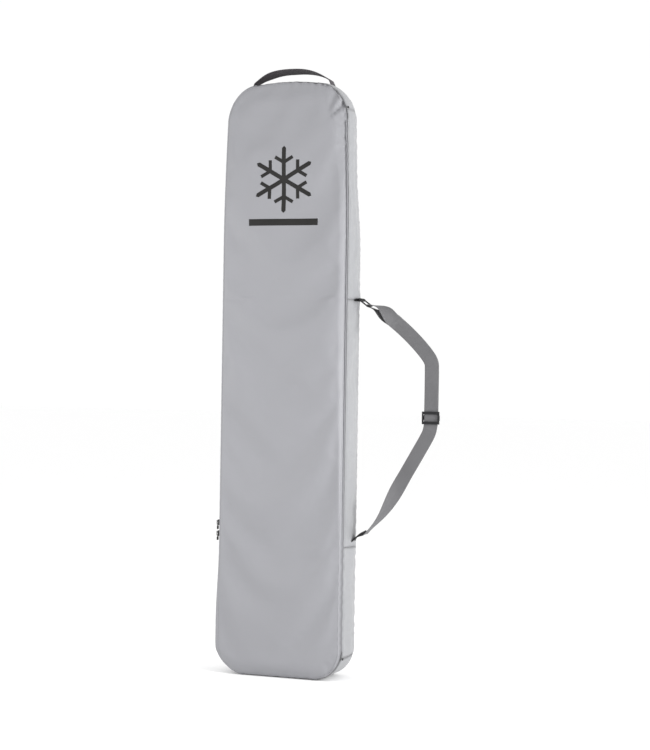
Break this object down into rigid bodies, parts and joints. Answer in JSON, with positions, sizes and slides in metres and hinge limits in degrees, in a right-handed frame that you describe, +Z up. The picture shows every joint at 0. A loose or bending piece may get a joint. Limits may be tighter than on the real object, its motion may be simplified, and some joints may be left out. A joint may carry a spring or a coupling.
{
  "type": "snowboard bag",
  "caption": "Upright zippered snowboard bag with rounded ends, a hinged front panel, a webbing shoulder strap with an adjuster and a haul handle.",
  "frame": {"origin": "middle of the flat bottom end, on the surface that the bag stands on", "axes": "+Z up along the bag's length, front towards -Y, strap on the +X side"},
  "size_m": [0.6194, 0.131, 1.6582],
  "materials": {
    "bag_fabric": "coated plain-weave polyester, slight sheen",
    "side_fabric": "coated plain-weave polyester, slight sheen",
    "zipper_black": "woven polyester tape and nylon coil, matt black",
    "black_plastic": "moulded acetal, fine grain",
    "grey_webbing": "ribbed polyester webbing",
    "dark_webbing": "ribbed polyester webbing, charcoal",
    "print_ink": "matt transfer print film"
  },
  "bodies": {
    "shell": {"back_panel": "bag_fabric", "left_gusset_upper": "side_fabric", "left_gusset_lower": "side_fabric", "right_gusset_upper": "side_fabric", "right_gusset_middle": "side_fabric", "right_gusset_lower": "side_fabric", "top_end_panel": "side_fabric", "bottom_end_panel": "side_fabric", "back_seam_binding": "zipper_black", "hinge_seam_binding": "zipper_black", "base_zipper_tape": "zipper_black", "base_zipper_coil": "zipper_black", "zipper_stop_top": "black_plastic", "zipper_stop_bottom": "black_plastic", "strap_patch_upper": "zipper_black", "strap_patch_lower": "zipper_black", "handle_patch_left": "zipper_black", "handle_patch_right": "zipper_black", "handle_tab_left": "dark_webbing", "handle_tab_right": "dark_webbing", "side_loop": "grey_webbing"},
    "lid": {"front_panel": "bag_fabric", "lid_zipper_tape": "zipper_black", "lid_zipper_coil": "zipper_black", "print_emblem": "print_ink", "print_bar": "print_ink"},
    "slider_upper": {"slider_upper": "black_plastic"},
    "slider_lower": {"slider_lower": "black_plastic"},
    "pull_upper": {"pull_link_upper": "black_plastic", "pull_grip_upper": "black_plastic"},
    "pull_lower": {"pull_link_lower": "black_plastic", "pull_grip_lower": "black_plastic"},
    "handle": {"haul_handle": "dark_webbing"},
    "strap": {"strap_webbing": "grey_webbing", "strap_tab_upper": "dark_webbing", "strap_tab_lower": "dark_webbing", "strap_ring": "black_plastic"},
    "triglide": {"triglide": "black_plastic"}
  },
  "joints": [
    {"name": "lid_open", "type": "hinge", "parent": "shell", "child": "lid", "pos_m": [0.1815, -0.048, 0.8], "axis": [0, 0, 1], "range_deg": [0, 110]},
    {"name": "strap_swing", "type": "hinge", "parent": "shell", "child": "strap", "pos_m": [0.1815, 0.01, 0.7], "axis": [0, 0, 1], "range_deg": [-30, 30], "deforming": ["strap_tab_upper", "strap_tab_lower"]},
    {"name": "triglide_slide", "type": "slide", "parent": "strap", "child": "triglide", "axis": [0, 0, 1], "range_m": [0, 0.1]},
    {"name": "slider_upper_slide", "type": "slide", "parent": "shell", "child": "slider_upper", "axis": [0, 0, 1], "range_m": [0, 0.74]},
    {"name": "slider_lower_slide", "type": "slide", "parent": "shell", "child": "slider_lower", "axis": [0, 0, 1], "range_m": [-0.27, 0]},
    {"name": "pull_upper_turn", "type": "hinge", "parent": "slider_upper", "child": "pull_upper", "pos_m": [-0.1873, -0.048, 0.4145], "axis": [0, 1, 0], "range_deg": [0, 120]},
    {"name": "pull_lower_turn", "type": "hinge", "parent": "slider_lower", "child": "pull_lower", "pos_m": [-0.1873, -0.048, 0.3845], "axis": [0, 1, 0], "range_deg": [0, 120]},
    {"name": "handle_rock", "type": "hinge", "parent": "shell", "child": "handle", "pos_m": [0, -0.004, 1.6245], "axis": [1, 0, 0], "range_deg": [-25, 25], "stiffness_Nm_per_rad": 0.05, "deforming": ["handle_tab_left", "handle_tab_right"]}
  ]
}
